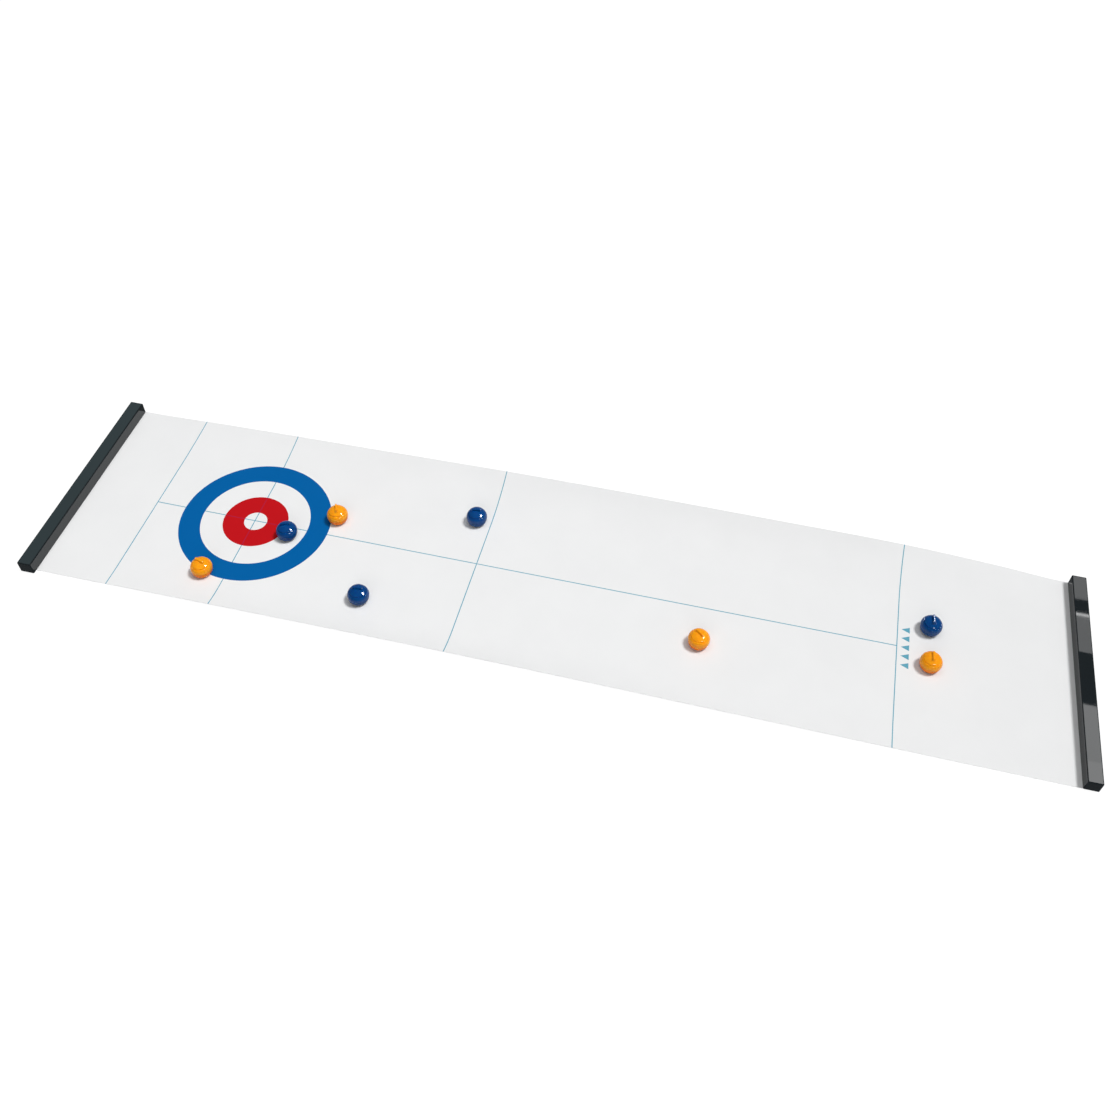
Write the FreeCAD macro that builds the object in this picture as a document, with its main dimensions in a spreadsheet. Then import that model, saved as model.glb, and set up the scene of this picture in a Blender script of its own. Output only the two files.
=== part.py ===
import FreeCAD, Part
import math
import os

import Sketcher

# Roll-out curling mat: a flexible printed playing sheet, two end bars that weigh it down,
# and eight free-rolling stones. Row frame: origin on the floor under the middle of the mat,
# +X along the mat towards its start end, +Y across it, +Z up. All sizes in millimetres.

os.makedirs("parts", exist_ok=True)
doc = FreeCAD.newDocument("curling_mat")

# ---------------------------------------------------------------- driving dimensions

SIZES = [
    # mat
    ("mat_length", "1212"),
    ("mat_width", "280"),
    ("mat_thick", "0.5"),
    ("play_length", "1195.4"),  # between the two bars' inner faces
    # end bars
    ("bar_width", "17"),
    ("bar_height", "15.6"),
    ("bar_length", "280"),
    ("bar_wall", "2"),
    ("bar_round", "1.2"),
    ("bar_lift", "0.7"),  # foot of the moulding above the floor: mat plus tape
    ("plate_thick", "1.5"),
    ("plate_gap", "0.1"),
    ("boss_radius", "2.9"),
    ("boss_root", "0.5"),  # how far a boss runs into the ceiling
    ("pilot_radius", "1.1"),
    ("pilot_depth", "9"),
    ("screw_pitch", "84"),
    ("screw_hole", "1.3"),
    ("sink_depth", "1"),
    ("head_radius", "2.2"),
    ("shank_radius", "1.05"),
    ("shank_length", "8.2"),
    ("drive_width", "0.5"),
    ("drive_length", "2.4"),
    ("drive_depth", "0.5"),
    ("tape_margin", "2"),
    ("tape_set_in", "0.3"),
    ("tape_set_back", "0.1"),
    ("grip_gap", "0.35"),
    ("grip_edge", "0.65"),
    ("grip_margin", "4"),
    ("rib_depth", "0.3"),
    ("rib_width", "0.8"),
    # stones, heights counted from the top of the mat
    ("stone_radius", "12.7"),
    ("stone_height", "21"),
    ("rim_height", "9.4"),
    ("shoulder_radius", "9"),
    ("disc_radius", "9.7"),  # the raised disc on top of the dome
    ("disc_step", "0.25"),
    ("disc_edge", "0.4"),
    ("ledge_radius", "10.5"),  # the flat ledge that surrounds it
    ("ledge_edge", "0.35"),
    ("cap_foot", "9"),
    ("cap_bore", "10.2"),
    ("cap_seat", "12.55"),
    ("cavity_radius", "6"),
    ("cavity_top", "17.9"),
    ("fin_base", "6.2"),  # half the length of the fin where it leaves the dome
    ("fin_top", "5.6"),  # half its length at the top
    ("fin_sunk", "18.8"),
    ("fin_height", "23.5"),
    ("fin_thick", "2.2"),
    ("fin_round", "1"),
    ("fin_edge", "0.4"),
    ("base_foot", "1.2"),
    ("foot_radius", "10.2"),
    ("foot_round", "0.7"),
    ("base_rim", "12.3"),
    ("base_top", "8.9"),
    ("base_bulge", "10"),
    ("spigot_radius", "10.1"),
    ("spigot_top", "10.8"),
    ("bore_radius", "8.5"),
    ("ring_top", "2.2"),
    ("ring_recess", "9.1"),
    ("ring_radius", "9"),
    ("ring_bore", "4.7"),
    ("cup_radius", "8.4"),
    ("cup_top", "12.45"),
    ("cup_round", "1.2"),
    ("cup_socket", "5.85"),
    ("ball_radius", "5.5"),
    ("ball_centre", "5.53"),
    ("bead_radius", "1"),
    ("bead_reach", "6.55"),  # from the ball's centre to a bead's centre
    ("bead_tilt", "35"),  # degrees above the ball's equator
    ("track_radius", "1.06"),
]

# The dome is a crown arc centred on the stone's axis, tangent to the shoulder arc, and the
# disc on top of it is concentric with the crown.
DERIVED = [
    ("dome_height", "=stone_height - disc_step"),
    (
        "crown_radius",
        "=((stone_radius - shoulder_radius)^2 + (dome_height - rim_height)^2"
        " - shoulder_radius^2) / (2 * (dome_height - rim_height - shoulder_radius))",
    ),
    ("crown_centre", "=dome_height - crown_radius"),
    ("disc_crown", "=crown_radius + disc_step"),
    ("disc_rim", "=crown_centre + sqrt(disc_crown^2 - disc_radius^2)"),
    ("ledge_height", "=crown_centre + sqrt(crown_radius^2 - ledge_radius^2)"),
    (
        "blend_radius",
        "=crown_radius * (stone_radius - shoulder_radius) / (crown_radius - shoulder_radius)",
    ),
    (
        "blend_height",
        "=crown_centre + crown_radius * (rim_height - crown_centre)"
        " / (crown_radius - shoulder_radius)",
    ),
    ("bar_ceiling", "=bar_height - bar_wall"),
    ("plate_top", "=bar_lift + plate_thick"),
    ("plate_half_width", "=bar_width / 2 - bar_wall - plate_gap"),
    ("plate_half_length", "=bar_length / 2 - bar_wall - plate_gap"),
    ("mat_held", "=(mat_length - play_length) / 2"),
]

sheet = doc.addObject("Spreadsheet::Sheet", "Sizes")
for row, (alias, text) in enumerate(SIZES + DERIVED, start=1):
    sheet.set(f"A{row}", alias)
    sheet.set(f"B{row}", text)
    sheet.setAlias(f"B{row}", alias)
doc.recompute()


def size(alias):
    return float(sheet.get(alias))


def value(expression):
    return float(sheet.evalExpression(expression))


def bound(expression):
    """The expression with each sheet alias written as Sizes.alias."""
    names = sorted((a for a, _ in SIZES + DERIVED), key=len, reverse=True)
    out, i = "", 0
    while i < len(expression):
        hit = next((n for n in names if expression.startswith(n, i)), None)
        if hit:
            out += "Sizes." + hit
            i += len(hit)
        else:
            out += expression[i]
            i += 1
    return out


# ---------------------------------------------------------------- building blocks


def new_body(label):
    body = doc.addObject("PartDesign::Body", label)
    body.Label = label
    return body


def new_sketch(body, name, role, height=None):
    """A sketch on one of the body's own origin planes, raised by a sheet expression."""
    plane = next(f for f in body.Origin.OriginFeatures if f.Role == role)
    sketch = body.newObject("Sketcher::SketchObject", f"{body.Label}_{name}")
    sketch.AttachmentSupport = [(plane, "")]
    sketch.MapMode = "FlatFace"
    if height:
        sketch.setExpression("AttachmentOffset.Base.z", bound(height))
    return sketch


def hold(sketch, kind, geo, end, expression):
    """Fix one coordinate of a point to a sheet expression; zero puts it on the axis."""
    if expression == "0":
        axis = -2 if kind == "DistanceX" else -1
        sketch.addConstraint(Sketcher.Constraint("PointOnObject", geo, end, axis))
        return
    at = sketch.addConstraint(
        Sketcher.Constraint(kind, -1, 1, geo, end, value(expression))
    )
    sketch.setExpression(f"Constraints[{at}]", bound(expression))


def arc_between(a, b, radius, turn):
    """The minor arc from a to b; turn is +1 anticlockwise and -1 clockwise."""
    half = (b - a) * 0.5
    rise = math.sqrt(max(radius**2 - half.Length**2, 0))
    side = FreeCAD.Vector(-half.y, half.x, 0).normalize() * turn
    centre = a + half + side * rise
    first, last = (a, b) if turn > 0 else (b, a)
    angles = [math.atan2(p.y - centre.y, p.x - centre.x) for p in (first, last)]
    if angles[1] < angles[0]:
        angles[1] += 2 * math.pi
    circle = Part.Circle(centre, FreeCAD.Vector(0, 0, 1), radius)
    return Part.ArcOfCircle(circle, *angles)


def outline(sketch, corners):
    """A closed outline. Each corner is (x, y) or (x, y, radius, turn), as expressions:
    the last two make the edge that leaves it an arc."""
    points = [FreeCAD.Vector(value(c[0]), value(c[1]), 0) for c in corners]
    ends = []
    for i, corner in enumerate(corners):
        a, b = points[i], points[(i + 1) % len(points)]
        if len(corner) == 2:
            geo = sketch.addGeometry(Part.LineSegment(a, b), False)
            ends.append((geo, 1, 2))
            continue
        radius, turn = corner[2:]
        geo = sketch.addGeometry(arc_between(a, b, value(radius), turn), False)
        ends.append((geo, 1, 2) if turn > 0 else (geo, 2, 1))
        at = sketch.addConstraint(Sketcher.Constraint("Radius", geo, value(radius)))
        sketch.setExpression(f"Constraints[{at}]", bound(radius))
    for i, (geo, start, _) in enumerate(ends):
        before, _, last = ends[i - 1]
        sketch.addConstraint(Sketcher.Constraint("Coincident", before, last, geo, start))
        hold(sketch, "DistanceX", geo, start, corners[i][0])
        hold(sketch, "DistanceY", geo, start, corners[i][1])
    return sketch


def rectangle(sketch, half_x, half_y):
    a, b = f"-({half_x})", f"-({half_y})"
    return outline(sketch, [(a, b), (half_x, b), (half_x, half_y), (a, half_y)])


def circles(sketch, centres, radius):
    for x, y in centres:
        middle = FreeCAD.Vector(value(x), value(y), 0)
        circle = Part.Circle(middle, FreeCAD.Vector(0, 0, 1), value(radius))
        geo = sketch.addGeometry(circle, False)
        hold(sketch, "DistanceX", geo, 3, x)
        hold(sketch, "DistanceY", geo, 3, y)
        at = sketch.addConstraint(Sketcher.Constraint("Radius", geo, value(radius)))
        sketch.setExpression(f"Constraints[{at}]", bound(radius))
    return sketch


volumes = {}


def settled(body, feature, grows):
    """Recompute and make sure that the feature added or removed material."""
    body.Tip = feature
    doc.recompute()
    if not feature.isValid() or feature.Shape.isNull():
        raise RuntimeError(f"{feature.Label} has no valid shape")
    before, after = volumes.get(body.Label, 0), feature.Shape.Volume
    if not (after > before if grows else after < before):
        raise RuntimeError(f"{feature.Label} changed nothing")
    volumes[body.Label] = after
    return feature


def pad(body, sketch, length, midplane=False):
    feature = body.newObject("PartDesign::Pad", f"{sketch.Label}_pad")
    feature.Profile = sketch
    feature.Midplane = midplane
    feature.setExpression("Length", bound(length))
    sketch.Visibility = False
    return settled(body, feature, True)


def pocket_up(body, sketch, length):
    feature = body.newObject("PartDesign::Pocket", f"{sketch.Label}_pocket")
    feature.Profile = sketch
    feature.Reversed = True
    feature.setExpression("Length", bound(length))
    sketch.Visibility = False
    return settled(body, feature, False)


def turned(body, sketch, cut=False):
    """The sketch turned a full circle about its own vertical axis."""
    kind = "Groove" if cut else "Revolution"
    feature = body.newObject(f"PartDesign::{kind}", f"{sketch.Label}_turn")
    feature.Profile = sketch
    feature.ReferenceAxis = (sketch, ["V_Axis"])
    feature.Angle = 360
    sketch.Visibility = False
    return settled(body, feature, not cut)


def dressed(body, kind, wanted, distance, grows=False):
    """A fillet or chamfer on every edge of the tip that wanted(edge) picks."""
    tip = body.Tip
    names = [f"Edge{i}" for i, e in enumerate(tip.Shape.Edges, start=1) if wanted(e)]
    feature = body.newObject(f"PartDesign::{kind}", f"{body.Label}_{kind.lower()}")
    feature.Base = (tip, names)
    feature.setExpression("Radius" if kind == "Fillet" else "Size", bound(distance))
    return settled(body, feature, grows)


def near(a, b):
    return abs(a - b) < 1e-4


def level(edge, z):
    return near(edge.BoundBox.ZMin, z) and near(edge.BoundBox.ZMax, z)


def circle_at(edge, z, radius):
    return level(edge, z) and isinstance(edge.Curve, Part.Circle) and near(edge.Curve.Radius, radius)


def upright(edge):
    return near(edge.BoundBox.XLength, 0) and near(edge.BoundBox.YLength, 0)


nodes = []


def placed(obj, x, y, z, turn=0):
    spin = FreeCAD.Rotation(FreeCAD.Vector(0, 0, 1), turn)
    obj.Placement = FreeCAD.Placement(FreeCAD.Vector(x, y, z), spin)
    nodes.append(obj)
    return obj


# ---------------------------------------------------------------- mat


def make_mat():
    body = new_body("mat")
    flat = rectangle(new_sketch(body, "flat", "XY_Plane"), "mat_length / 2", "mat_width / 2")
    pad(body, flat, "mat_thick")
    placed(body, 0, 0, 0)


# ---------------------------------------------------------------- end bars
# Each bar is built about the middle of its own footprint, and its mat side faces +X.

SCREW_ROW = [("0", f"screw_pitch * {k}") for k in (-1.5, -0.5, 0.5, 1.5)]


def bar_shell(name):
    body = new_body(f"{name}_shell")
    outer = rectangle(
        new_sketch(body, "outer", "XY_Plane", "bar_lift"), "bar_width / 2", "bar_length / 2"
    )
    pad(body, outer, "bar_height - bar_lift")
    top = size("bar_height")
    dressed(body, "Fillet", lambda e: upright(e) or level(e, top), "bar_round")
    inner = rectangle(
        new_sketch(body, "inner", "XY_Plane", "bar_lift"),
        "bar_width / 2 - bar_wall",
        "bar_length / 2 - bar_wall",
    )
    pocket_up(body, inner, "bar_ceiling - bar_lift")
    boss = circles(
        new_sketch(body, "boss", "XY_Plane", "plate_top"), SCREW_ROW, "boss_radius"
    )
    pad(body, boss, "bar_ceiling - plate_top + boss_root")
    pilot = circles(
        new_sketch(body, "pilot", "XY_Plane", "plate_top"), SCREW_ROW, "pilot_radius"
    )
    pocket_up(body, pilot, "pilot_depth")
    return body


def bar_plate(name):
    body = new_body(f"{name}_plate")
    flat = rectangle(
        new_sketch(body, "flat", "XY_Plane", "bar_lift"), "plate_half_width", "plate_half_length"
    )
    pad(body, flat, "plate_thick")
    holes = circles(
        new_sketch(body, "holes", "XY_Plane", "bar_lift"), SCREW_ROW, "screw_hole"
    )
    pocket_up(body, holes, "plate_thick")
    z, r = size("bar_lift"), size("screw_hole")
    dressed(body, "Chamfer", lambda e: circle_at(e, z, r), "sink_depth")
    return body


def screw_solid(y):
    """One countersunk screw, head down, its head flush with the plate's underside."""
    foot = FreeCAD.Vector(0, y, size("bar_lift"))
    up = FreeCAD.Vector(0, 0, 1)
    sink = size("sink_depth")
    head = Part.makeCone(size("head_radius"), size("shank_radius"), sink, foot, up)
    shank = Part.makeCylinder(size("shank_radius"), size("shank_length") + sink, foot, up)
    solid = head.fuse(shank)
    long, wide, deep = (size(f"drive_{n}") for n in ("length", "width", "depth"))
    for dx, dy in ((long, wide), (wide, long)):
        corner = foot - FreeCAD.Vector(dx / 2, dy / 2, 0)
        solid = solid.cut(Part.makeBox(dx, dy, deep, corner))
    return solid.removeSplitter()


def bar_screws(name):
    screws = doc.addObject("Part::Feature", f"{name}_screws")
    screws.Label = f"{name}_screws"
    screws.Shape = Part.makeCompound([screw_solid(value(y)) for _, y in SCREW_ROW])
    return screws


def bar_tape(name):
    """Double-sided tape between the mat's end and the bar."""
    body = new_body(f"{name}_tape")
    inner, outer = "bar_width / 2 - tape_set_in", "bar_width / 2 - mat_held + tape_set_back"
    long = "bar_length / 2 - tape_margin"
    sketch = new_sketch(body, "flat", "XY_Plane", "mat_thick")
    outline(
        sketch, [(outer, f"-({long})"), (inner, f"-({long})"), (inner, long), (outer, long)]
    )
    pad(body, sketch, "bar_lift - mat_thick")
    return body


def bar_grip(name):
    """Rubber strip beside the mat's end, ribbed along its underside."""
    body = new_body(f"{name}_grip")
    low, high = "-bar_width / 2 + grip_edge", "bar_width / 2 - mat_held - grip_gap"
    corners = [(high, "bar_lift"), (low, "bar_lift"), (low, "0")]
    for k in (0.25, 0.5, 0.75):
        middle = f"({low}) * {1 - k} + ({high}) * {k}"
        left, right = f"{middle} - rib_width / 2", f"{middle} + rib_width / 2"
        corners += [(left, "0"), (left, "rib_depth"), (right, "rib_depth"), (right, "0")]
    corners.append((high, "0"))
    section = outline(new_sketch(body, "section", "XZ_Plane"), corners)
    pad(body, section, "bar_length - 2 * grip_margin", midplane=True)
    return body


def make_bar(name, side):
    x = side * (size("play_length") + size("bar_width")) / 2
    turn = 0 if side < 0 else 180
    for make in (bar_shell, bar_plate, bar_screws, bar_tape, bar_grip):
        placed(make(name), x, 0, 0, turn)


# ---------------------------------------------------------------- stones
# Each piece is built about the stone's own axis, its height counted from the mat.


def stone_cap(name):
    """Domed cap, hollow below, with a raised disc and the fin that the fingers twist it by."""
    body = new_body(f"{name}_cap")
    dome = outline(
        new_sketch(body, "dome", "XZ_Plane"),
        [
            ("0", "stone_height", "disc_crown", -1),
            ("disc_radius", "disc_rim"),
            ("disc_radius", "ledge_height"),
            ("ledge_radius", "ledge_height", "crown_radius", -1),
            ("blend_radius", "blend_height", "shoulder_radius", -1),
            ("stone_radius", "rim_height"),
            ("stone_radius", "cap_foot"),
            ("cap_bore", "cap_foot"),
            ("cap_bore", "cap_seat"),
            ("cavity_radius", "cap_seat"),
            ("cavity_radius", "cavity_top"),
            ("0", "cavity_top"),
        ],
    )
    turned(body, dome)
    for height, radius, edge in (
        ("disc_rim", "disc_radius", "disc_edge"),
        ("ledge_height", "ledge_radius", "ledge_edge"),
    ):
        z, r = size(height), size(radius)
        dressed(body, "Fillet", lambda e: circle_at(e, z, r), edge)
    fin = outline(
        new_sketch(body, "fin", "XZ_Plane"),
        [
            ("-fin_base", "fin_sunk"),
            ("fin_base", "fin_sunk"),
            ("fin_top", "fin_height"),
            ("-fin_top", "fin_height"),
        ],
    )
    pad(body, fin, "fin_thick", midplane=True)
    top, half = size("fin_height"), size("fin_thick") / 2
    dressed(
        body, "Fillet", lambda e: level(e, top) and near(e.BoundBox.XLength, 0), "fin_round"
    )
    dressed(
        body, "Fillet", lambda e: level(e, top) and near(abs(e.BoundBox.YMax), half), "fin_edge"
    )
    return body


def stone_base(name):
    """Lower shell: a tapering wall, a spigot that locates the cap, and the cup's bore."""
    body = new_body(f"{name}_base")
    wall = outline(
        new_sketch(body, "wall", "XZ_Plane"),
        [
            ("ring_recess", "base_foot"),
            ("foot_radius", "base_foot", "base_bulge", 1),
            ("base_rim", "base_top"),
            ("spigot_radius", "base_top"),
            ("spigot_radius", "spigot_top"),
            ("bore_radius", "spigot_top"),
            ("bore_radius", "ring_top"),
            ("ring_recess", "ring_top"),
        ],
    )
    turned(body, wall)
    foot, r = size("base_foot"), size("foot_radius")
    dressed(body, "Fillet", lambda e: circle_at(e, foot, r), "foot_round")
    return body


def stone_cup(name):
    """Bearing cup: a socket over the ball, with a track for the ring of beads."""
    body = new_body(f"{name}_cup")
    block = outline(
        new_sketch(body, "block", "XZ_Plane"),
        [
            ("cup_socket", "ring_top"),
            ("cup_radius", "ring_top"),
            ("cup_radius", "cup_top"),
            ("0", "cup_top"),
            ("0", "ball_centre + cup_socket", "cup_socket", -1),
            ("cup_socket", "ball_centre"),
        ],
    )
    turned(body, block)
    track = circles(
        new_sketch(body, "track", "XZ_Plane"),
        [("bead_reach * cos(bead_tilt)", "ball_centre + bead_reach * sin(bead_tilt)")],
        "track_radius",
    )
    turned(body, track, cut=True)
    top, r = size("cup_top"), size("cup_radius")
    dressed(body, "Fillet", lambda e: circle_at(e, top, r), "cup_round")
    return body


def stone_retainer(name):
    """Ring under the cup whose bore is smaller than the ball, so the ball stays in."""
    body = new_body(f"{name}_retainer")
    ring = outline(
        new_sketch(body, "ring", "XZ_Plane"),
        [
            ("ring_bore", "base_foot"),
            ("ring_radius", "base_foot"),
            ("ring_radius", "ring_top"),
            ("ring_bore", "ring_top"),
        ],
    )
    turned(body, ring)
    return body


def stone_ball(name):
    ball = doc.addObject("Part::Sphere", f"{name}_ball")
    ball.Label = f"{name}_ball"
    ball.setExpression("Radius", bound("ball_radius"))
    return ball


BEADS = 12


def stone_beads(name):
    tilt = math.radians(size("bead_tilt"))
    out = size("bead_reach") * math.cos(tilt)
    height = size("ball_centre") + size("bead_reach") * math.sin(tilt)
    spheres = []
    for k in range(BEADS):
        a = 2 * math.pi * k / BEADS
        middle = FreeCAD.Vector(out * math.cos(a), out * math.sin(a), height)
        spheres.append(Part.makeSphere(size("bead_radius"), middle))
    beads = doc.addObject("Part::Feature", f"{name}_beads")
    beads.Label = f"{name}_beads"
    beads.Shape = Part.makeCompound(spheres)
    return beads


def make_stone(name, x, y, turn):
    z = size("mat_thick")
    for make in (stone_cap, stone_base, stone_cup, stone_retainer, stone_beads):
        placed(make(name), x, y, z, turn)
    placed(stone_ball(name), x, y, z + size("ball_centre"))


# name, where it lies on the mat (x, y), and the heading of its fin in degrees
STONES = [
    ("stone_orange_1", -284.5, 23.5, -67),
    ("stone_orange_2", -409.3, -91.0, -17),
    ("stone_orange_3", 176.0, -53.8, -41),
    ("stone_orange_4", 435.7, -23.0, -87),
    ("stone_blue_1", -334.6, -15.3, 20),
    ("stone_blue_2", -118.6, 61.6, 8),
    ("stone_blue_3", -218.1, -85.6, 6),
    ("stone_blue_4", 434.9, 28.4, -86),
]

make_mat()
make_bar("bar_left", -1)
make_bar("bar_right", 1)
for stone in STONES:
    make_stone(*stone)

# ---------------------------------------------------------------- checks and STEP files

doc.recompute()
for obj in doc.Objects:
    if "Invalid" in obj.State or "Error" in obj.State:
        raise RuntimeError(f"{obj.Label} is {obj.State}")
for node in nodes:
    if node.Shape.isNull() or not node.Shape.isValid():
        raise RuntimeError(f"{node.Label} has no valid shape")
for node in nodes:
    node.Shape.exportStep(os.path.join("parts", f"{node.Label}.step"))
print(len(nodes), "nodes written")
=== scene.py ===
import math

import bpy
import numpy as np
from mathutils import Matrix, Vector
from mathutils.geometry import delaunay_2d_cdt


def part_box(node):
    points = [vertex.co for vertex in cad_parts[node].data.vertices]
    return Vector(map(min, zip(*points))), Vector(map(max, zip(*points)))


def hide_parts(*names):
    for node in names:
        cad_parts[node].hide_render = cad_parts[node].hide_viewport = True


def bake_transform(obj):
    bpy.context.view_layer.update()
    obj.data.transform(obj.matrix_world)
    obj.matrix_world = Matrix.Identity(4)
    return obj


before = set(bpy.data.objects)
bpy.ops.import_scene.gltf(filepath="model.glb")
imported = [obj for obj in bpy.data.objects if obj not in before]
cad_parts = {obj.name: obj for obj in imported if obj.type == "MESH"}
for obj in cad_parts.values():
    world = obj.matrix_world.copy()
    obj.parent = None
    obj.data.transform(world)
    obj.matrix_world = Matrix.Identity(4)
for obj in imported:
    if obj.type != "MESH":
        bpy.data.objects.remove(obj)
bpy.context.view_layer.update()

MM = 0.001
scene = bpy.context.scene
scene.view_settings.view_transform = "Standard"
scene.view_settings.look = "None"

# ---------------------------------------------------------------- camera

# Metres and degrees, solved so that the bars, lines and rings lie as they do in the reference.
cam = bpy.data.cameras.new("camera")
cam_obj = bpy.data.objects.new("camera", cam)
scene.collection.objects.link(cam_obj)
scene.camera = cam_obj
cam_obj.location = (0.1818, -0.8104, 1.0762)
cam_obj.rotation_euler = [math.radians(a) for a in (41.192, -1.866, 12.363)]
cam.sensor_width = 36
cam.lens = 36.668
cam.shift_x = -0.02836
cam.shift_y = -0.04627
cam.clip_start = 0.01

# ---------------------------------------------------------------- materials


def new_material(name):
    """A node material, with its node tree's parts and its shader."""
    material = bpy.data.materials.new(name)
    material.use_nodes = True
    nodes, links = material.node_tree.nodes, material.node_tree.links
    shader = next(n for n in nodes if n.type == "BSDF_PRINCIPLED")
    return material, nodes, links, shader


def noise(nodes, links, where, scale, detail=2.0, rough=0.5, stretch=None):
    """Noise in the piece's own metres; stretch squeezes it along an axis, as brushing does."""
    texture = nodes.new("ShaderNodeTexNoise")
    texture.inputs["Scale"].default_value = scale
    texture.inputs["Detail"].default_value = detail
    texture.inputs["Roughness"].default_value = rough
    if stretch:
        mapping = nodes.new("ShaderNodeMapping")
        mapping.inputs["Scale"].default_value = stretch
        links.new(where, mapping.inputs["Vector"])
        where = mapping.outputs["Vector"]
    links.new(where, texture.inputs["Vector"])
    return texture.outputs["Fac"]


def remap(nodes, links, fac, low, high, from_low=0.0, from_high=1.0):
    """A factor stretched from one range to another."""
    ranged = nodes.new("ShaderNodeMapRange")
    ranged.inputs["From Min"].default_value = from_low
    ranged.inputs["From Max"].default_value = from_high
    ranged.inputs["To Min"].default_value = low
    ranged.inputs["To Max"].default_value = high
    links.new(fac, ranged.inputs["Value"])
    return ranged.outputs["Result"]


def two_tone(nodes, links, fac, a, b):
    """Colour a where the factor is 0 and b where it is 1."""
    mix = nodes.new("ShaderNodeMix")
    mix.data_type = "RGBA"
    mix.inputs["A"].default_value = (*a, 1)
    mix.inputs["B"].default_value = (*b, 1)
    links.new(fac, mix.inputs["Factor"])
    return mix.outputs["Result"]


def bump(nodes, links, height, strength, distance, below=None):
    """Relief from a height, laid over the relief below it."""
    node = nodes.new("ShaderNodeBump")
    node.inputs["Strength"].default_value = strength
    node.inputs["Distance"].default_value = distance
    links.new(height, node.inputs["Height"])
    if below:
        links.new(below, node.inputs["Normal"])
    return node.outputs["Normal"]


def surface(name, color, spread, rough, grain, relief, scratch=None, **sockets):
    """A moulded, printed or polished surface.

    color, and how far it drifts (spread); rough = (low, high) roughness; grain is the size of
    the fine relief in metres and relief its depth; scratch = (per metre, depth) adds hairlines
    along X. The colour drifts in patches of about 60 grains, and the gloss in smudges of 30.
    """
    material, nodes, links, shader = new_material(name)
    where = nodes.new("ShaderNodeTexCoord").outputs["Object"]
    patch = max(grain * 60, 0.004)
    drift = noise(nodes, links, where, 0.35 / patch, 3.0, 0.55)
    lighter = [min(c * (1 + spread) + spread * 0.02, 1) for c in color]
    darker = [c * (1 - spread) for c in color]
    links.new(
        two_tone(nodes, links, remap(nodes, links, drift, 0, 1, 0.3, 0.7), darker, lighter),
        shader.inputs["Base Color"],
    )
    smudge = max(grain * 30, 0.002)
    dull = noise(nodes, links, where, 0.3 / smudge, 4.0, 0.6)
    links.new(
        remap(nodes, links, dull, rough[0], rough[1], 0.35, 0.65), shader.inputs["Roughness"]
    )
    normal = bump(nodes, links, noise(nodes, links, where, 1 / grain, 2.0), 1.0, relief)
    if scratch:
        fine = noise(nodes, links, where, scratch[0], 2.0, 0.5, stretch=(0.06, 1, 1))
        lines = remap(nodes, links, fine, 0, 1, 0.62, 0.68)
        normal = bump(nodes, links, lines, 0.6, scratch[1], normal)
    links.new(normal, shader.inputs["Normal"])
    for key, value in sockets.items():
        shader.inputs[key.replace("_", " ").title().replace("Ior", "IOR")].default_value = value
    return material


VINYL = dict(spread=0.012, rough=(0.4, 0.55), grain=0.0004, relief=0.00001)
INK = dict(VINYL, specular_ior_level=0.12)
white = surface("vinyl_white", (0.805, 0.805, 0.805), specular_ior_level=0.2, **VINYL)
under = surface("vinyl_underside", (0.70, 0.70, 0.71), 0.02, (0.5, 0.62), 0.0006, 0.00004)
ink_blue = surface("ink_blue", (0.0, 0.108, 0.345), **INK)
ink_red = surface("ink_red", (0.50, 0.006, 0.010), **INK)
ink_line = surface("ink_line", (0.12, 0.36, 0.47), **INK)
ink_on_red = surface("ink_line_on_red", (0.40, 0.015, 0.05), **INK)

# ---------------------------------------------------------------- the mat's print

# In metres from the frame's origin: where the tee and centre lines cross, the rings' middle
# and their outer and inner radii, the lines' width, and the other cross lines' places.
TEE = (-0.3823, -0.0026)
TARGET = (TEE[0] + 0.0011, TEE[1] - 0.0007)  # the rings are printed a little off the lines
RINGS = ((0.0918, 0.0662, ink_blue), (0.0395, 0.0139, ink_red))
SMALL_RING = 0.03
LINE = 0.0011
BACK, HOG, START = -0.510, -0.1006, 0.3987
CROSS_LINES = (BACK, TEE[0], HOG, START)
CENTRE_EDGES = (TEE[1] - LINE / 2, TEE[1] + LINE / 2)
PLAY_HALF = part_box("bar_right_shell")[0].x
MAT_LOW, MAT_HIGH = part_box("mat")
HALF_WIDTH = MAT_HIGH.y
THICK = MAT_HIGH.z - MAT_LOW.z
PIVOT = 0.030  # how far inside the bars' inner faces the mat begins to bend


def arrowhead(y):
    """A small solid mark behind the start line that points along the mat to the target."""
    tip, length, half_width = START + 0.0045, 0.0095, 0.0042
    return [(tip, y), (tip + length, y + half_width), (tip + length, y - half_width)]


MARK_MIDDLE, MARK_PITCH = -0.003, 0.0125
MARKS = [arrowhead(MARK_MIDDLE + MARK_PITCH * k) for k in range(-2, 3)]


def inside(polygon, x, y):
    """Whether a point lies in a polygon, by counting the sides that a ray from it crosses."""
    hit = False
    for (ax, ay), (bx, by) in zip(polygon, polygon[1:] + polygon[:1]):
        if (ay > y) != (by > y) and x < (bx - ax) * (y - ay) / (by - ay) + ax:
            hit = not hit
    return hit


def ink_at(x, y):
    """The ink or bare vinyl at a point of the flat sheet."""
    across = any(abs(x - line) < LINE / 2 for line in CROSS_LINES)
    along = CENTRE_EDGES[0] < y < CENTRE_EDGES[1] and BACK < x < START
    r = math.hypot(x - TARGET[0], y - TARGET[1])
    for outer, inner, ink in RINGS:
        if inner < r < outer:
            return ink_on_red if (across or along) and ink is ink_red else ink
    if across or along or any(inside(mark, x, y) for mark in MARKS):
        return ink_line
    return white


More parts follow.
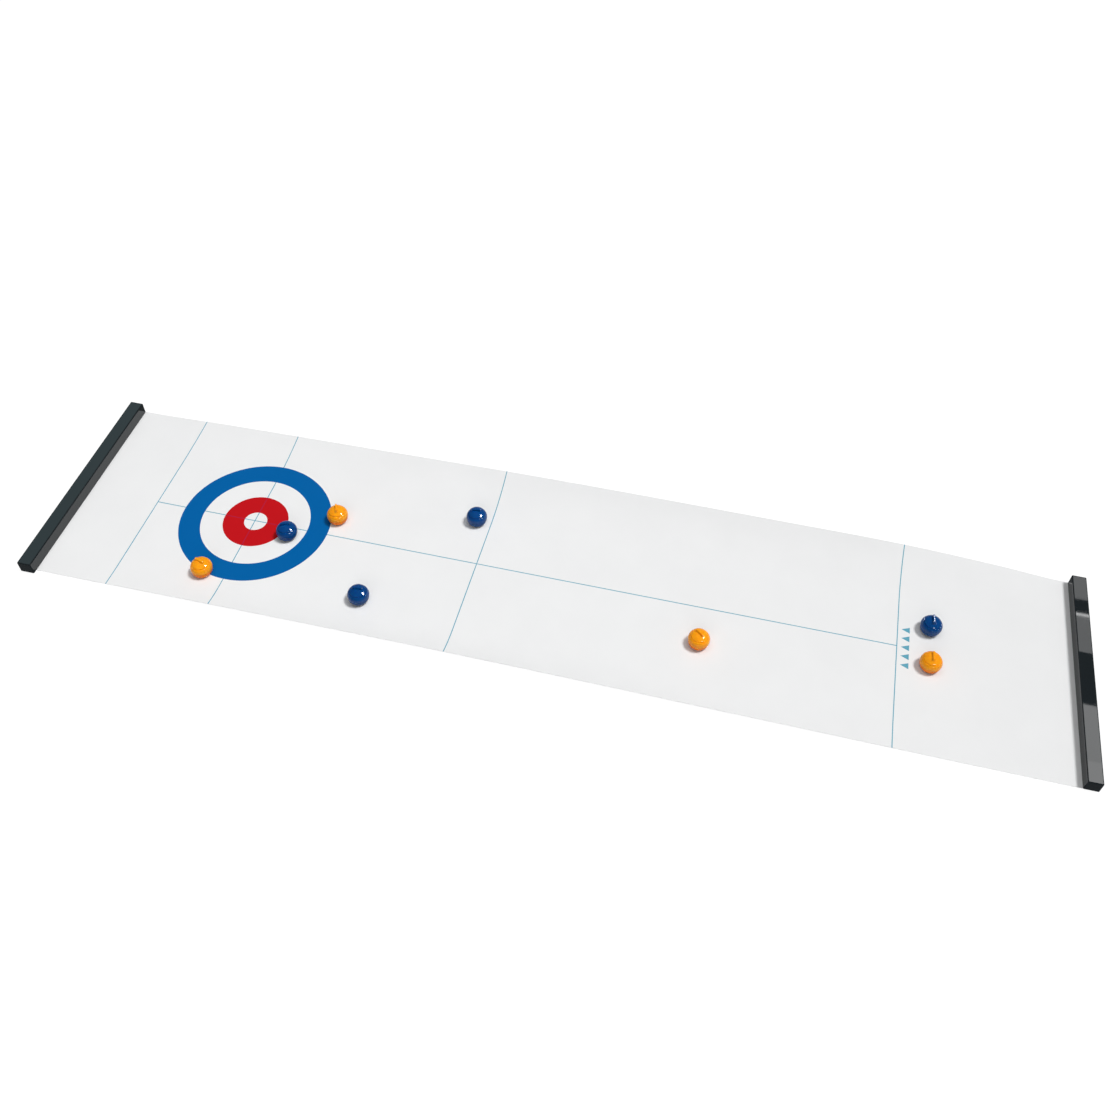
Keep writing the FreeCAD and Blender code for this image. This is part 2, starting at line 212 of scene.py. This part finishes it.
# How far each long edge curls up: (place along the mat, height) in millimetres, and the
# width of the strip that curls, in metres.
FAR_EDGE = (
    (-598, 0), (-470, 4.6), (-270, 10.6), (-70, 17.2), (220, 18.6), (410, 16), (510, 8), (598, 0)
)
NEAR_EDGE = ((-598, 0), (-440, 2.6), (-90, 5.7), (260, 3), (598, 0))
FAR_CURL, NEAR_CURL = 0.080, 0.036
NEAR_TRIM = (0.0055, 0.0005)  # how far the near edge stands inside the bars' ends, left and right


def eased(points, x):
    """A smooth curve through the points, level at both ends."""
    px, py = np.array(points, float).T * MM
    slope = np.gradient(py, px)
    slope[0] = slope[-1] = 0
    i = np.clip(np.searchsorted(px, x) - 1, 0, len(px) - 2)
    span = px[i + 1] - px[i]
    t = np.clip((x - px[i]) / span, 0, 1)
    rest = 1 - t
    ends = py[i] * (1 + 2 * t) * rest**2 + py[i + 1] * (3 - 2 * t) * t**2
    return np.maximum(ends + span * t * rest * (slope[i] * rest - slope[i + 1] * t), 0)


def near_half(x):
    """The near half's width: the near edge isn't quite square to the bars."""
    return HALF_WIDTH - np.interp(x, (MAT_LOW.x, MAT_HIGH.x), NEAR_TRIM)


def curled(x, y):
    """Where points of the flat sheet lie: the long edges curl up in an arc."""
    far = y > 0
    width = np.where(far, FAR_CURL, NEAR_CURL)
    lift = np.where(far, eased(FAR_EDGE, x), eased(NEAR_EDGE, x))
    t = np.maximum(0, (np.abs(y) - np.where(far, HALF_WIDTH, near_half(x)) + width) / width)
    inward = (2 * lift / width) ** 2 * t**3 * width / 6
    return np.stack([x, y - np.sign(y) * inward, MAT_LOW.z + lift * t * t], axis=1)


def ring_outline(radius):
    """One edge of a ring, with fewer corners if the ring is small."""
    corners = 160 if radius > SMALL_RING else 72
    turns = [2 * math.pi * k / corners for k in range(corners)]
    return [(TARGET[0] + radius * math.cos(a), TARGET[1] + radius * math.sin(a)) for a in turns]


# The sheet's points stand in columns across it. A column's points are close together where
# the edges curl: each strip is a little wider than its curl, and the flat lies between them.
COLUMN_STEP, BEND_STEP = 0.009, 0.003
BEND_FROM, BEND_TO = PLAY_HALF - PIVOT - 0.004, PLAY_HALF + 0.002
NEAR_STRIP, FAR_STRIP = NEAR_CURL + 0.006, FAR_CURL + 0.005
FLAT_LOW, FLAT_HIGH = -HALF_WIDTH + 0.052, HALF_WIDTH - 0.092
FLAT_ROWS = np.linspace(FLAT_LOW, FLAT_HIGH, 18)
FAR_ROWS = np.linspace(HALF_WIDTH - FAR_STRIP, HALF_WIDTH, 22)
SHARP_ANGLE = 35
SAME_POINT, NO_WIDTH, SLOPE_STEP = 1e-7, 1e-6, 1e-4


def rows(x):
    """The places across the mat of one column's points."""
    return np.concatenate([np.linspace(0, NEAR_STRIP, 16) - near_half(x), FLAT_ROWS, FAR_ROWS])


def band(a, b):
    """The outline of a stretch of the sheet from one long edge to the other."""
    return [(a, -near_half(a)), (b, -near_half(b)), (b, HALF_WIDTH), (a, HALF_WIDTH)]


def half_mesh(x_low, x_high):
    """One half of the printed sheet as triangles, each with its ink."""
    columns = np.linspace(x_low, x_high, round((x_high - x_low) / COLUMN_STEP) + 1)
    by_bar = np.arange(BEND_FROM, BEND_TO, BEND_STEP)
    columns = np.concatenate([columns, by_bar if x_high > PLAY_HALF else -by_bar])
    outlines = [band(x_low, x_high)]
    points = [(x, y) for x in columns for y in rows(x)]
    for line in CROSS_LINES:
        a, b = max(line - LINE / 2, x_low), min(line + LINE / 2, x_high)
        if b > a:
            outlines.append(band(a, b))
            points += [(x, y) for x in (a, b) for y in rows(x)]
    a, b = max(BACK, x_low), min(START, x_high)
    y0, y1 = CENTRE_EDGES
    outlines.append([(a, y0), (b, y0), (b, y1), (a, y1)])
    points += [(x, y) for x in columns if a < x < b for y in CENTRE_EDGES]
    if x_low < TARGET[0]:
        outlines += [ring_outline(r) for ring in RINGS for r in ring[:2]]
    if x_high > START:
        outlines += MARKS
    edges = []
    for outline in outlines:
        first, n = len(points), len(outline)
        points += outline
        edges += [(first + i, first + (i + 1) % n) for i in range(n)]
    made = delaunay_2d_cdt([Vector(p) for p in points], edges, [], 0, SAME_POINT)
    flat = np.array([v[:] for v in made[0]])
    # Rounding leaves triangles of no width along the slanting near edge; they are dropped.
    off_the_edge = flat[:, 1] + near_half(flat[:, 0]) > NO_WIDTH
    faces = [face for face in made[2] if off_the_edge[list(face)].any()]
    inks = [ink_at(*flat[list(face)].mean(axis=0)) for face in faces]
    return flat, faces, inks


def sheet_piece(name, x_low, x_high):
    """One half of the sheet: a printed top, an underside and a rim, laid in its curled shape."""
    flat, faces, inks = half_mesh(x_low, x_high)
    x, y = flat.T
    low = curled(x, y)
    normal = np.cross(curled(x + SLOPE_STEP, y) - low, curled(x, y + SLOPE_STEP) - low)
    normal /= np.linalg.norm(normal, axis=1)[:, None]
    high = low + normal * THICK
    n = len(flat)
    turned = []
    for a, b, c in faces:
        up = np.cross(flat[b] - flat[a], flat[c] - flat[a]) > 0
        turned.append((a, b, c) if up else (a, c, b))
    sides = {e for a, b, c in turned for e in ((a, b), (b, c), (c, a))}
    rim = [(a, b) for a, b in sides if (b, a) not in sides]
    polygons = [(a + n, b + n, c + n) for a, b, c in turned]
    polygons += [(c, b, a) for a, b, c in turned]
    polygons += [(a, b, b + n, a + n) for a, b in sorted(rim)]
    mesh = bpy.data.meshes.new(name)
    mesh.from_pydata(np.vstack([low, high]).tolist(), [], polygons)
    slots = [white, under, ink_blue, ink_red, ink_line, ink_on_red]
    for material in slots:
        mesh.materials.append(material)
    top = [slots.index(ink) for ink in inks]
    chosen = top + [slots.index(under)] * len(turned) + [slots.index(white)] * len(rim)
    mesh.polygons.foreach_set("material_index", chosen)
    mesh.update()
    mesh.shade_smooth()
    mesh.set_sharp_from_angle(angle=math.radians(SHARP_ANGLE))
    piece = bpy.data.objects.new(name, mesh)
    scene.collection.objects.link(piece)
    return piece


left = sheet_piece("mat_sheet_target_end", MAT_LOW.x, HOG)
right = sheet_piece("mat_sheet_start_end", HOG, MAT_HIGH.x)
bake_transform(left)
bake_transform(right)
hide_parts("mat")
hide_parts("mat")
for piece, x_low, x_high in ((left, MAT_LOW.x, HOG), (right, HOG, MAT_HIGH.x)):
    width = HALF_WIDTH + float(near_half((x_low + x_high) / 2))

# ---------------------------------------------------------------- the CAD nodes' finishes

GLOSS = dict(grain=0.0009, relief=0.0000005, scratch=(900, 0.0000005))
FINISH = {
    "shell": surface("bar_gloss_black", (0.006, 0.0095, 0.0115), 0.12, (0.01, 0.03), **GLOSS),
    "plate": surface("bar_plate", (0.03, 0.03, 0.032), 0.1, (0.4, 0.55), 0.0005, 0.00003),
    "screws": surface(
        "screw_steel", (0.55, 0.55, 0.56), 0.06, (0.22, 0.36), 0.0003, 0.000004, metallic=1.0
    ),
    "tape": surface("tape", (0.72, 0.72, 0.68), 0.03, (0.3, 0.45), 0.0007, 0.00003),
    "grip": surface("grip_rubber", (0.02, 0.02, 0.02), 0.15, (0.6, 0.8), 0.0004, 0.00006),
    "cup": surface("cup_acetal", (0.82, 0.82, 0.79), 0.03, (0.32, 0.42), 0.0004, 0.000006),
    "retainer": surface("retainer", (0.03, 0.03, 0.032), 0.1, (0.4, 0.5), 0.0004, 0.00002),
    "ball": surface(
        "ball_steel", (0.62, 0.62, 0.63), 0.03, (0.06, 0.12), 0.0002, 0.0000006, metallic=1.0
    ),
}
FINISH["beads"] = FINISH["ball"]


def plastic(name, color, gloss, scatter):
    """Glossy moulded plastic that light enters a little way."""
    return surface(
        name, color, 0.04, (0.07, 0.12), 0.0009, 0.0000015, (900, 0.0000015),
        specular_ior_level=gloss, subsurface_weight=0.2, subsurface_scale=0.003,
        subsurface_radius=scatter,
    )


WARM, COOL = (1.0, 0.3, 0.05), (0.05, 0.2, 1.0)
# Cap and lower shell are moulded in the same plastic. The cap's colour is lighter and the lower
# shell's is deeper (redder on the orange stones). That is painted light on the top and painted shade
# on the lower part.
STONE = {
    "orange_cap": plastic("stone_orange_cap", (0.96, 0.345, 0.006), 0.3, WARM),
    "orange_base": plastic("stone_orange_base", (0.93, 0.205, 0.003), 0.14, WARM),
    "blue_cap": plastic("stone_blue_cap", (0.0, 0.052, 0.21), 0.3, COOL),
    "blue_base": plastic("stone_blue_base", (0.0, 0.046, 0.18), 0.14, COOL),
}


def finish_of(node):
    """A node's material, by the last word of its name and for a stone's shell by its colour."""
    kind = node.rsplit("_", 1)[1]
    return FINISH.get(kind) or STONE[("orange_" if "orange" in node else "blue_") + kind]


for node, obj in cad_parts.items():
    if node != "mat":
        obj.data.materials.clear()
        obj.data.materials.append(finish_of(node))

# ---------------------------------------------------------------- floor and light

FLOOR_HALF = 9
FLOOR_GAP = 0.0002
floor_corners = [(x * FLOOR_HALF, y * FLOOR_HALF, 0) for x, y in ((-1, -1), (1, -1), (1, 1), (-1, 1))]
floor_mesh = bpy.data.meshes.new("floor")
floor_mesh.from_pydata(floor_corners, [], [(0, 1, 2, 3)])
floor = bpy.data.objects.new("floor", floor_mesh)
floor.location.z = -FLOOR_GAP
scene.collection.objects.link(floor)
paper, _, _, paper_shader = new_material("floor")
paper_shader.inputs["Base Color"].default_value = (0.12, 0.12, 0.12, 1)
paper_shader.inputs["Roughness"].default_value = 0.8
paper_shader.inputs["Specular IOR Level"].default_value = 0.0
paper_shader.inputs["Emission Color"].default_value = (1, 1, 1, 1)
paper_shader.inputs["Emission Strength"].default_value = 0.94
floor_mesh.materials.append(paper)
floor.visible_glossy = False

# A white wall all round closes the view beyond the floor; it lights nothing.
WALL_RADIUS, WALL_FOOT, WALL_HEIGHT, WALL_SIDES = 8.5, -0.1, 12, 64
turns = [2 * math.pi * k / WALL_SIDES for k in range(WALL_SIDES)]
rim = [(WALL_RADIUS * math.cos(a), WALL_RADIUS * math.sin(a)) for a in turns]
corners = [(x, y, WALL_FOOT) for x, y in rim] + [(x, y, WALL_HEIGHT) for x, y in rim]
wall_faces = []
for k in range(WALL_SIDES):
    after = (k + 1) % WALL_SIDES
    wall_faces.append((k, after, after + WALL_SIDES, k + WALL_SIDES))
wall_mesh = bpy.data.meshes.new("backdrop")
wall_mesh.from_pydata(corners, [], wall_faces)
wall = bpy.data.objects.new("backdrop", wall_mesh)
scene.collection.objects.link(wall)
white_wall, _, _, wall_shader = new_material("backdrop")
wall_shader.inputs["Base Color"].default_value = (0, 0, 0, 1)
wall_shader.inputs["Specular IOR Level"].default_value = 0.0
wall_shader.inputs["Emission Color"].default_value = (1, 1, 1, 1)
wall_shader.inputs["Emission Strength"].default_value = 1.0
wall_mesh.materials.append(white_wall)
wall.visible_diffuse = False
wall.visible_glossy = False
wall.visible_shadow = False

world = bpy.data.worlds.new("world")
world.use_nodes = True
sky = world.node_tree.nodes["Background"]
sky.inputs["Color"].default_value = (0.93, 0.97, 1.0, 1)
sky.inputs["Strength"].default_value = 0.15
scene.world = world


def nodes_named(word):
    """The CAD nodes whose names start with a word, as a group that a lamp can be kept to."""
    group = bpy.data.collections.new(word)
    for node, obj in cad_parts.items():
        if node.startswith(word):
            group.objects.link(obj)
    return group


def lamp(
    name, where, target, size, radiance, glossy=False, diffuse=True, spread=180, tint=(1, 1, 1),
    only=None,
):
    """A soft box, or with glossy set and diffuse clear one that only shows in reflections.

    size is its two sides in metres, radiance its brightness per unit of area, spread the angle
    of its beam in degrees, and only the group of objects that it reaches, if not all.
    """
    data = bpy.data.lights.new(name, "AREA")
    data.shape = "RECTANGLE"
    data.size, data.size_y = size
    data.energy = radiance * math.pi * size[0] * size[1]
    data.spread = math.radians(spread)
    data.color = tint
    obj = bpy.data.objects.new(name, data)
    obj.location = where
    obj.rotation_euler = (Vector(target) - Vector(where)).to_track_quat("-Z", "Y").to_euler()
    obj.visible_glossy = glossy
    obj.visible_diffuse = diffuse
    obj.visible_camera = False
    if only:
        obj.light_linking.receiver_collection = only
    scene.collection.objects.link(obj)


key = bpy.data.lights.new("key", "SUN")
key.energy = 2.26
key.angle = math.radians(13)
key_obj = bpy.data.objects.new("key", key)
key_obj.rotation_euler = Vector((-0.39, -0.11, -0.915)).to_track_quat("-Z", "Y").to_euler()
key_obj.visible_glossy = False
scene.collection.objects.link(key_obj)
lamp("overhead", (-0.25, 0, 2.6), (-0.25, 0, 0), (2.0, 1.6), 1.6)
lamp("front", (0, -2.4, 1.5), (0, 0, 0), (2.4, 1.2), 1.6)

# Soft boxes that only show in reflections: three for the stones' highlights, a small one for
# the top of the fin beside the right bar, one over the left bar and a row over the right bar.
# They reach only the stones or only the bars, so that the mat has no glare from any side.
ON_STONES = dict(glossy=True, diffuse=False, only=nodes_named("stone"))
ON_BARS = dict(glossy=True, diffuse=False, only=nodes_named("bar"))
TARGET_STONES, START_STONES = (-0.25, -0.03, 0), (0.43, 0, 0)
lamp("glint", (0.68, 0.03, 0.70), TARGET_STONES, (0.42, 0.42), 5, spread=40, **ON_STONES)
lamp("glint_start", (0.66, -0.03, 0.70), START_STONES, (0.12, 0.12), 45, **ON_STONES)
lamp("glint_front", (0.90, -0.88, 0.60), START_STONES, (0.35, 0.35), 18, **ON_STONES)
lamp("glint_fin", (0.788, 1.198, 1.5), START_STONES, (0.035, 0.04), 50, **ON_STONES)
PANEL_HEIGHT = 1.5
# Each panel's name, place and width along the mat, near and far side, brightness and colour.
for name, x, width, near, far, radiance, tint in (
    ("panel_left", -1.75, 0.5, 0.75, 1.5, 0.60, (0.65, 0.95, 1.0)),
    ("panel_far", 1.2, 0.34, 1.384, 1.60, 2.1, (1, 1, 1)),
    ("panel_edge", 1.2, 0.34, 1.324, 1.334, 9.0, (1, 1, 1)),
    ("panel_middle", 1.2, 0.34, 1.20, 1.322, 2.1, (1, 1, 1)),
    ("panel_near", 1.2, 0.34, 0.86, 1.03, 3.6, (1, 1, 1)),
    ("panel_nearest", 1.2, 0.34, 0.70, 0.86, 4.2, (1, 1, 1)),
):
    where = Vector((x, (near + far) / 2, PANEL_HEIGHT))
    below = where - Vector((0, 0, 1))
    lamp(name, where, below, (width, far - near), radiance, tint=tint, **ON_BARS)
